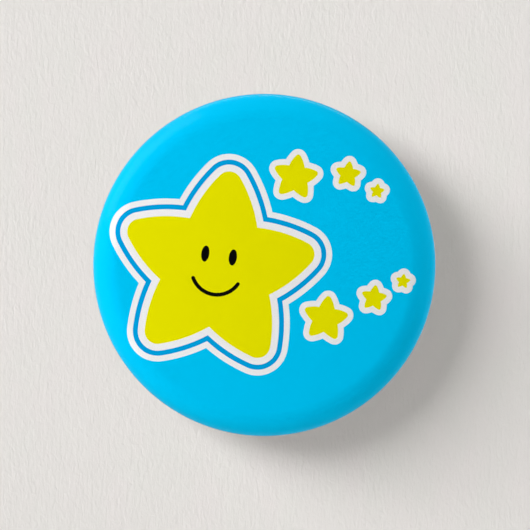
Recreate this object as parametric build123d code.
from build123d import *
import os
from math import asin, cos, pi, radians, sin

os.makedirs("parts", exist_ok=True)

# Button badge held upright: face towards -Y, back towards +Y, +Z up, millimetres.
# The origin is the middle of the plane that the back of the rolled rim lies on.
# "Height" below is measured from that plane towards the face, so y = -height.

# --- Face and rolled rim, measured on the outer skin ---
BADGE_R = 16.0
CROWN_H = 4.5
CROWN_R = 121.0
SHOULDER_R = 2.8
LIP_R = 13.3
LIP_BEND_R = 0.75

# The crown meets the shoulder where both have this slope, and the shoulder ends at the widest point.
CROWN_SLOPE = asin((BADGE_R - SHOULDER_R) / (CROWN_R - SHOULDER_R))
WAIST_H = CROWN_H - CROWN_R + (CROWN_R - SHOULDER_R) * cos(CROWN_SLOPE)

# --- Layers: (depth under the outer skin, thickness, height where the tucked-in edge ends) ---
FILM = (0.0, 0.04, 1.40)
PAPER = (0.06, 0.14, 1.40)
SHELL = (0.24, 0.24, 1.55)

# --- Back plate ---
PLATE_H = 0.9
PLATE_T = 0.3
PLATE_R = 13.28
PLATE_BEND_R = 0.5
FLARE_H = 1.45
FLARE_BEND_R = 0.3
FLARE_R = 14.5

# --- Pin wire ---
WIRE_R = 0.4
WIRE_Z = 3.0
WIRE_Y = -PLATE_H + WIRE_R + 0.01
COIL_X = -9.6
COIL_R = 1.2
COIL_TILT = radians(30)
# Along the coil's axis, at the base arm and after each half turn.
COIL_HEIGHTS = (0, 0.15, 0.90, 1.05)
HOOK_X = 8.5
HOOK_ELBOW_R = 0.9
HOOK_ARC_R = 0.9
HOOK_SWEEP = 106
HOOK_TIP_ROUND = 0.25
NEEDLE_LEAD = 2.4
NEEDLE_LEAN = radians(1.8)
NEEDLE_SHANK = 13.4
NEEDLE_TAPER = 5.0
NEEDLE_POINT_R = 0.03

# --- Bridges: strips of the plate pushed out over the wire ---
BRIDGE_X = (-4.6, 4.6)
BRIDGE_W = 1.7
BRIDGE_GAP = 0.03
BRIDGE_SLOPE = radians(50)
BRIDGE_FOOT_R = 0.25
BRIDGE_HALF = 1.8


def about_y(outline):
    """Turn a closed outline in the XY plane, drawn at x >= 0, into a solid round the Y axis."""
    return revolve(make_face(outline), axis=Axis.Y, revolution_arc=360)


def skin_line(depth, end_h):
    """Section line at this depth under the outer skin, from the crown's middle to the lip's end."""
    lean = CROWN_SLOPE * 180 / pi
    shoulder_x = BADGE_R - SHOULDER_R
    waist_x = BADGE_R - WAIST_H
    bend_x = LIP_R + LIP_BEND_R
    crown = CenterArc((0, CROWN_R - CROWN_H), CROWN_R - depth, -90, lean)
    shoulder = CenterArc((shoulder_x, -WAIST_H), SHOULDER_R - depth, lean - 90, 90 - lean)
    curl = CenterArc((waist_x, -WAIST_H), WAIST_H - depth, 0, 90)
    flat = Line((waist_x, -depth), (bend_x, -depth))
    bend = CenterArc((bend_x, -LIP_BEND_R), LIP_BEND_R - depth, 90, 90)
    lip = Line((LIP_R + depth, -LIP_BEND_R), (LIP_R + depth, -end_h))
    return [crown, shoulder, curl, flat, bend, lip]


def wrapped_layer(depth, thickness, end_h):
    """One layer of the face: domed, wrapped round the rim and tucked in behind it."""
    outer = skin_line(depth, end_h)
    inner = skin_line(depth + thickness, end_h)
    middle = Line((0, depth - CROWN_H), (0, depth + thickness - CROWN_H))
    edge = Line((LIP_R + depth, -end_h), (LIP_R + depth + thickness, -end_h))
    return about_y([*outer, edge, *inner, middle])


def plate_line(depth):
    """Section line of the back plate at this depth in front of its back surface."""
    bend_x = PLATE_R - PLATE_BEND_R
    bend_y = -(PLATE_H + PLATE_BEND_R)
    flare_x = PLATE_R + FLARE_BEND_R
    flare_y = -(FLARE_H + FLARE_BEND_R + depth)
    floor = Line((0, -(PLATE_H + depth)), (bend_x, -(PLATE_H + depth)))
    bend = CenterArc((bend_x, bend_y), PLATE_BEND_R - depth, 90, -90)
    skirt = Line((PLATE_R - depth, bend_y), (PLATE_R - depth, -FLARE_H))
    turn = CenterArc((flare_x, -FLARE_H), FLARE_BEND_R + depth, 180, 90)
    flare = Line((flare_x, flare_y), (FLARE_R, flare_y))
    return [floor, bend, skirt, turn, flare]


def plate_dish():
    """The back plate before its bridges are lanced: a shallow dish with a flared skirt."""
    middle = Line((0, -PLATE_H), (0, -(PLATE_H + PLATE_T)))
    flare_y = -(FLARE_H + FLARE_BEND_R)
    edge = Line((FLARE_R, flare_y), (FLARE_R, flare_y - PLATE_T))
    return about_y([*plate_line(0), edge, *plate_line(PLATE_T), middle])


def bridge_side(depth, way):
    """Half of a bridge's section line in the (z, y) plane, from its top out to the plate."""
    top_r = WIRE_R + BRIDGE_GAP + PLATE_T
    rise = WIRE_Y + (top_r + BRIDGE_FOOT_R) * cos(BRIDGE_SLOPE) - BRIDGE_FOOT_R + PLATE_H
    leg = rise / sin(BRIDGE_SLOPE)
    reach = (top_r + BRIDGE_FOOT_R) * sin(BRIDGE_SLOPE) + leg * cos(BRIDGE_SLOPE)
    slope = BRIDGE_SLOPE * 180 / pi
    foot = (way * reach, -PLATE_H + BRIDGE_FOOT_R)
    top = CenterArc((0, WIRE_Y), top_r - depth, 90, -way * slope)
    base = CenterArc(foot, BRIDGE_FOOT_R + depth, -90, -way * slope)
    end = Line((way * reach, -PLATE_H - depth), (way * BRIDGE_HALF, -PLATE_H - depth))
    return [top, Line(top @ 1, base @ 1), base, end]


def bridge(x):
    """One lanced bridge over the wire, centred at this x."""
    outline = []
    for way in (-1, 1):
        end_z = way * BRIDGE_HALF
        outline += bridge_side(0, way)
        outline += bridge_side(PLATE_T, way)
        outline.append(Line((end_z, -PLATE_H), (end_z, -PLATE_H - PLATE_T)))
    section = Plane(origin=(x - BRIDGE_W / 2, 0, WIRE_Z), x_dir=(0, 0, 1), z_dir=(-1, 0, 0))
    return extrude(section * make_face(outline), amount=-BRIDGE_W)


def back_plate():
    """The dish with a window under each bridge."""
    plate = plate_dish()
    for x in BRIDGE_X:
        window = Box(BRIDGE_W, 4 * PLATE_T, 2 * BRIDGE_HALF)
        plate -= Pos(x, -PLATE_H - PLATE_T / 2, WIRE_Z) * window
        plate += bridge(x)
    return plate


def rod(start, end):
    """A straight stretch of wire."""
    way = Vector(*end) - Vector(*start)
    return extrude(Plane(origin=start, z_dir=way) * Circle(WIRE_R), amount=way.length)


# --- The coil's own directions: its axis, the base arm's, and the one square to both ---
COIL_AXIS = Vector(0, sin(COIL_TILT), cos(COIL_TILT))
COIL_SIDE = Vector(0, cos(COIL_TILT), -sin(COIL_TILT))
COIL_MIDDLE = Vector(COIL_X, WIRE_Y, WIRE_Z) + COIL_SIDE * COIL_R


def coil_station(halves):
    """Where the coil's middle line is after this many half turns, counted from the base arm."""
    side = COIL_R if halves % 2 else -COIL_R
    return COIL_MIDDLE + COIL_SIDE * side + COIL_AXIS * COIL_HEIGHTS[halves]


def half_turn(start, end, way):
    """Half a turn of wire from start to end, leaving start in this direction."""
    middle = (start + end) / 2
    axis = Axis(middle, (start - middle).cross(way))
    section = Plane(origin=start, z_dir=way) * Circle(WIRE_R)
    return revolve(section, axis=axis, revolution_arc=180)


def coil_spring():
    """One and a half turns from the base arm to the needle; the middle half crosses over."""
    turns = half_turn(coil_station(0), coil_station(1), Vector(-1, 0, 0))
    turns += half_turn(coil_station(1), coil_station(2), Vector(1, 0, 0))
    return turns + half_turn(coil_station(2), coil_station(3), Vector(-1, 0, 0))


def base_wire():
    """The fixed arm under the bridges, turned up at its end and over the needle as a hook."""
    elbow_x = HOOK_X - HOOK_ELBOW_R
    riser_foot = (HOOK_X, WIRE_Y + HOOK_ELBOW_R, WIRE_Z)
    riser_head = (HOOK_X, HOOK_TURN_Y, WIRE_Z)
    arm = rod((COIL_X, WIRE_Y, WIRE_Z), (elbow_x, WIRE_Y, WIRE_Z))
    elbow_axis = Axis((elbow_x, WIRE_Y + HOOK_ELBOW_R, WIRE_Z), (0, 0, 1))
    arm_end = Plane(origin=(elbow_x, WIRE_Y, WIRE_Z), z_dir=(1, 0, 0)) * Circle(WIRE_R)
    elbow = revolve(arm_end, axis=elbow_axis, revolution_arc=90)
    riser = rod(riser_foot, riser_head)
    hook_axis = Axis((HOOK_X, HOOK_TURN_Y, WIRE_Z - HOOK_ARC_R), (-1, 0, 0))
    riser_end = Plane(origin=riser_head, z_dir=(0, 1, 0)) * Circle(WIRE_R)
    hook = revolve(riser_end, axis=hook_axis, revolution_arc=HOOK_SWEEP)
    wire = arm + elbow + riser + hook
    tip = wire.faces().filter_by(GeomType.PLANE).sort_by(Axis.Y)[-1]
    return fillet(tip.edges(), HOOK_TIP_ROUND)


# --- The needle: a barely bent lead, a straight shank and a long ground point ---
NEEDLE_START = coil_station(3)
NEEDLE_WAY = Vector(cos(NEEDLE_LEAN), 0, -sin(NEEDLE_LEAN))
LEAD_BEND_R = NEEDLE_LEAD / NEEDLE_LEAN
SHANK_START = NEEDLE_START + Vector(
    LEAD_BEND_R * sin(NEEDLE_LEAN), 0, -LEAD_BEND_R * (1 - cos(NEEDLE_LEAN))
)
SHANK_END = SHANK_START + NEEDLE_WAY * NEEDLE_SHANK
HOOK_TURN_Y = NEEDLE_START.Y + 0.65


def needle_pin():
    """The moving wire, from where it leaves the coil to its point."""
    lead_axis = Axis(NEEDLE_START + Vector(0, 0, -LEAD_BEND_R), (0, 1, 0))
    lead_end = Plane(origin=NEEDLE_START, z_dir=(1, 0, 0)) * Circle(WIRE_R)
    lead = revolve(lead_end, axis=lead_axis, revolution_arc=NEEDLE_LEAN * 180 / pi)
    shank = rod(SHANK_START, SHANK_END)
    drop = WIRE_R - NEEDLE_POINT_R
    ground_r = (NEEDLE_TAPER**2 + drop**2) / (2 * drop)
    ground_angle = asin(NEEDLE_TAPER / ground_r) * 180 / pi
    side = CenterArc((0, WIRE_R - ground_r), ground_r, 90, -ground_angle)
    point = Line(side @ 1, (NEEDLE_TAPER, 0))
    outline = [side, point, Line((NEEDLE_TAPER, 0), (0, 0)), Line((0, 0), (0, WIRE_R))]
    taper = revolve(make_face(outline), axis=Axis.X, revolution_arc=360)
    placed = Plane(origin=SHANK_END, x_dir=NEEDLE_WAY, z_dir=(0, 1, 0)) * taper
    return lead + shank + placed


def write(shape, node):
    export_step(shape, f"parts/{node}.step")


write(wrapped_layer(*FILM), "clear_film")
write(wrapped_layer(*PAPER), "printed_artwork")
write(wrapped_layer(*SHELL), "front_shell")
write(back_plate(), "back_plate")
write(base_wire(), "base_wire")
write(coil_spring(), "coil_spring")
write(needle_pin(), "needle_pin")
